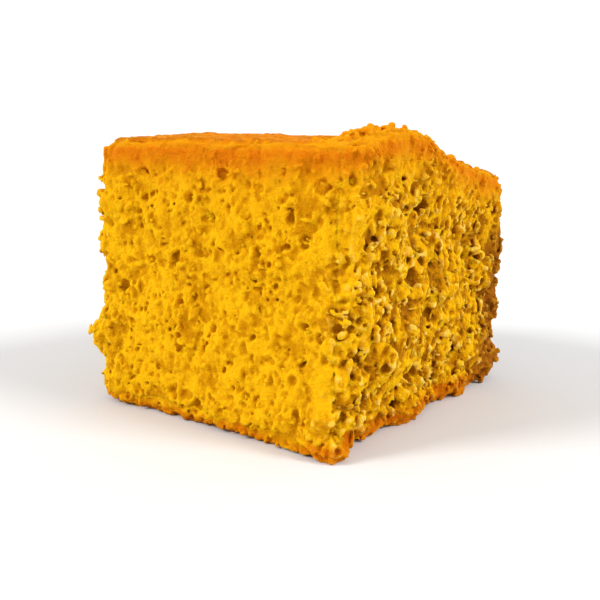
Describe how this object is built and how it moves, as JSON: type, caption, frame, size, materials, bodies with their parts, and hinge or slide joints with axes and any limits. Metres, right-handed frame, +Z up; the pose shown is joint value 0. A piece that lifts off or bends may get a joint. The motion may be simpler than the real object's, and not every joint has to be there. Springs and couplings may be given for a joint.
{
  "type": "orange cake piece",
  "caption": "Hand-cut piece of orange sponge cake with a browned top, torn crumbly sides and one side baked against the tin.",
  "frame": {"origin": "middle of the part's box, on the plane of the flat underside", "axes": "+Z up; -Y towards the knife-cut front face; +Y towards the side that baked against the tin; +X towards the torn right side"},
  "size_m": [0.055, 0.067, 0.0504],
  "materials": {
    "crumb": "open matte sponge, deep yellow, with an orange-brown baked skin on top and browner against the tin"
  },
  "bodies": {
    "root": {"cake_piece": "crumb"}
  },
  "joints": []
}
